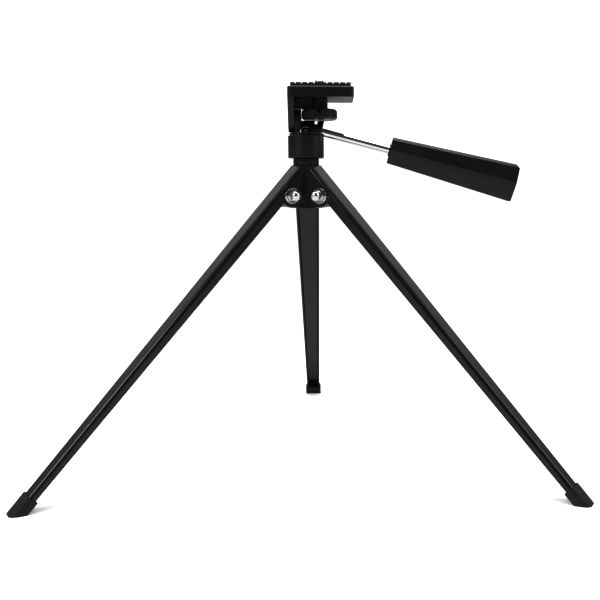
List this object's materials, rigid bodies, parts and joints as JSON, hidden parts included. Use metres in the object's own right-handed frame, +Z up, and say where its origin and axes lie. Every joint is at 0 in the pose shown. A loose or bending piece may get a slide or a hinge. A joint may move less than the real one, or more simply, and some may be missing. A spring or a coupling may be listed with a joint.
{
  "type": "table-top tripod",
  "caption": "Small black folding table-top tripod with a pan and tilt head, camera screw on a ribbed pad, thumbwheel and a faceted grip on a bright rod.",
  "frame": {"origin": "on the table under the middle of the overall box; the pan axis stands behind the front feet at a negative Y", "axes": "+Z up along the pan axis and the camera screw, +X towards the handle, +Y towards the back leg"},
  "size_m": [0.3438, 0.2988, 0.2572],
  "materials": {
    "black_sheet": "semi-gloss black enamel on pressed steel",
    "foot_rubber": "matt moulded rubber",
    "bright_hardware": "bright nickel plate",
    "nylon": "black nylon",
    "black_casting": "satin black paint on die-cast alloy",
    "chromed_post": "polished",
    "chromed_rod": "polished",
    "spring_steel": "oiled spring steel",
    "black_screws": "black oxide",
    "pad_rubber": "matt ribbed rubber",
    "screw_steel": "plated, cut thread",
    "wheel_plastic": "moulded, knurled edge",
    "grip_plastic": "satin moulded plastic"
  },
  "bodies": {
    "stand": {"hub": "black_casting", "pan_post": "chromed_post", "pan_retaining_ring": "spring_steel", "pan_glide_washer": "nylon", "left_pivot_glides": "nylon", "right_pivot_glides": "nylon", "back_pivot_glides": "nylon"},
    "left_leg": {"left_leg_channel": "black_sheet", "left_foot_cap": "foot_rubber", "left_pivot_bolt": "bright_hardware", "left_pivot_nut": "bright_hardware", "left_pivot_washers": "bright_hardware"},
    "right_leg": {"right_leg_channel": "black_sheet", "right_foot_cap": "foot_rubber", "right_pivot_bolt": "bright_hardware", "right_pivot_nut": "bright_hardware", "right_pivot_washers": "bright_hardware"},
    "back_leg": {"back_leg_channel": "black_sheet", "back_foot_cap": "foot_rubber", "back_pivot_bolt": "bright_hardware", "back_pivot_nut": "bright_hardware", "back_pivot_washers": "bright_hardware"},
    "pan_head": {"pan_collar": "black_casting", "collar_screws": "black_screws", "pan_block": "black_casting", "pan_spring_washer": "spring_steel", "tilt_screw": "black_screws", "tilt_spring_washer": "spring_steel", "tilt_friction_washer": "nylon"},
    "tilt_head": {"tilt_bracket": "black_casting", "camera_pad": "pad_rubber"},
    "screw_and_wheel": {"camera_screw": "screw_steel", "thumbwheel": "wheel_plastic", "wheel_set_screw": "black_screws", "screw_clip": "spring_steel"},
    "brake": {"brake_slug": "nylon"},
    "handle": {"handle_rod": "chromed_rod", "grip_ferrule": "grip_plastic", "grip": "grip_plastic"}
  },
  "joints": [
    {"name": "left_leg_fold", "type": "hinge", "parent": "stand", "child": "left_leg", "pos_m": [-0.01334, -0.0548, 0.1814], "axis": [0.5, -0.866, 0], "range_deg": [0, 42.8]},
    {"name": "right_leg_fold", "type": "hinge", "parent": "stand", "child": "right_leg", "pos_m": [0.01334, -0.0548, 0.1814], "axis": [0.5, 0.866, 0], "range_deg": [0, 42.8]},
    {"name": "back_leg_fold", "type": "hinge", "parent": "stand", "child": "back_leg", "pos_m": [0, -0.0317, 0.1814], "axis": [-1, 0, 0], "range_deg": [0, 42.8]},
    {"name": "pan", "type": "hinge", "parent": "stand", "child": "pan_head", "pos_m": [0, -0.0471, 0.2141], "axis": [0, 0, 1], "continuous": true},
    {"name": "tilt", "type": "hinge", "parent": "pan_head", "child": "tilt_head", "pos_m": [-0.0114, -0.0471, 0.2311], "axis": [1, 0, 0], "range_deg": [-40, 40]},
    {"name": "screw_turn", "type": "hinge", "parent": "tilt_head", "child": "screw_and_wheel", "pos_m": [0.0091, -0.0471, 0.2448], "axis": [0, 0, 1], "continuous": true},
    {"name": "brake_slide", "type": "slide", "parent": "pan_head", "child": "brake", "axis": [0.9681, 0, -0.2504], "range_m": [0, 0.0008]},
    {"name": "handle_twist", "type": "hinge", "parent": "brake", "child": "handle", "pos_m": [0.0104, -0.0471, 0.22363], "axis": [0.9681, 0, -0.2504], "range_deg": [0, 360]}
  ],
  "couplings": [
    {"joint": "handle_twist", "follows": "brake_slide", "rad_per_m": 7854}
  ]
}
